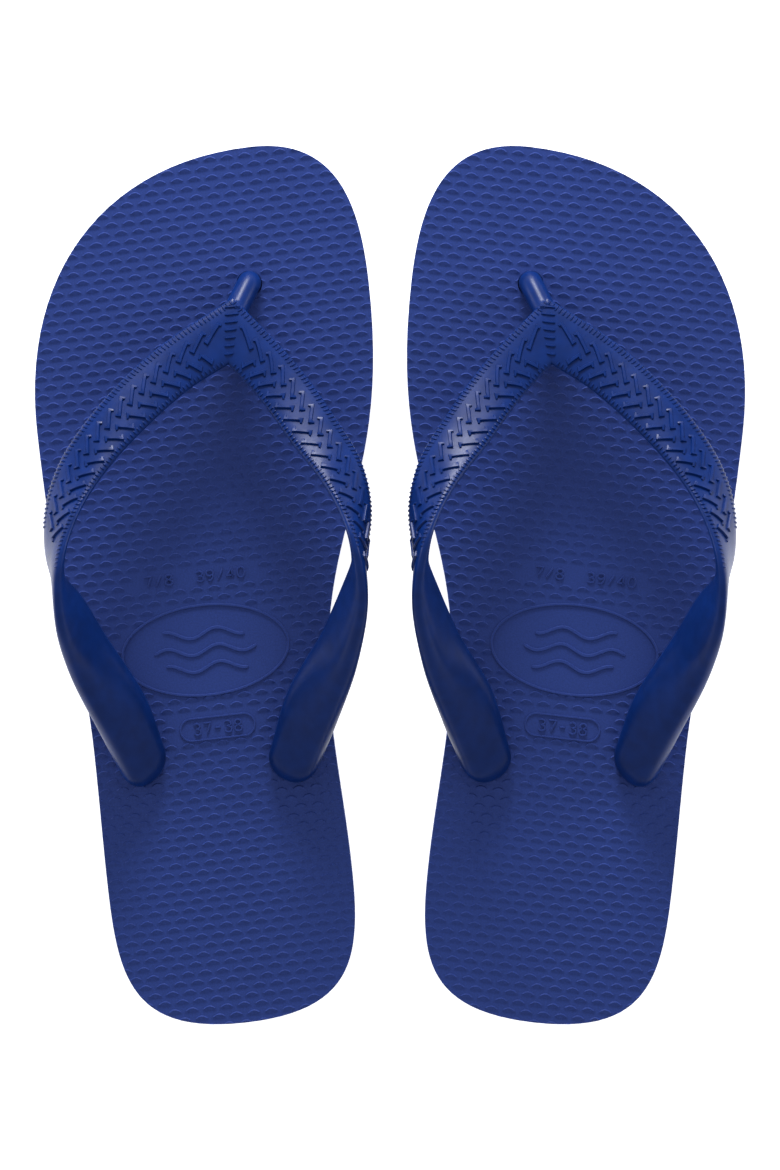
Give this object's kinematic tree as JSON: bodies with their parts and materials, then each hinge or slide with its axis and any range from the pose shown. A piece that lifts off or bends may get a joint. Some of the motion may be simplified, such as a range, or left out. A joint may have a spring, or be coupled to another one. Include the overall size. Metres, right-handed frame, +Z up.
{
  "type": "pair of flip flops",
  "caption": "Rubber thong sandals: flat contoured two-layer soles, each with a V-shaped toe-post strap plugged through it.",
  "frame": {"origin": "on the floor, at the centre of the pair's bounding box", "axes": "+X to the right shoe, +Y towards the toes, +Z up out of the footbeds"},
  "size_m": [0.209, 0.2586, 0.0595],
  "materials": {
    "footbed_rubber": "matte expanded rubber, fine raised grain",
    "outsole_rubber": "matte expanded rubber",
    "strap_rubber": "smooth moulded rubber with a soft sheen"
  },
  "bodies": {
    "left_shoe": {"left_footbed": "footbed_rubber", "left_outsole": "outsole_rubber", "left_strap": "strap_rubber"},
    "right_shoe": {"right_footbed": "footbed_rubber", "right_outsole": "outsole_rubber", "right_strap": "strap_rubber"}
  },
  "joints": [
    {"name": "right_shoe_lift", "type": "slide", "parent": "left_shoe", "child": "right_shoe", "axis": [0, 0, 1], "range_m": [0, 0.12]}
  ]
}
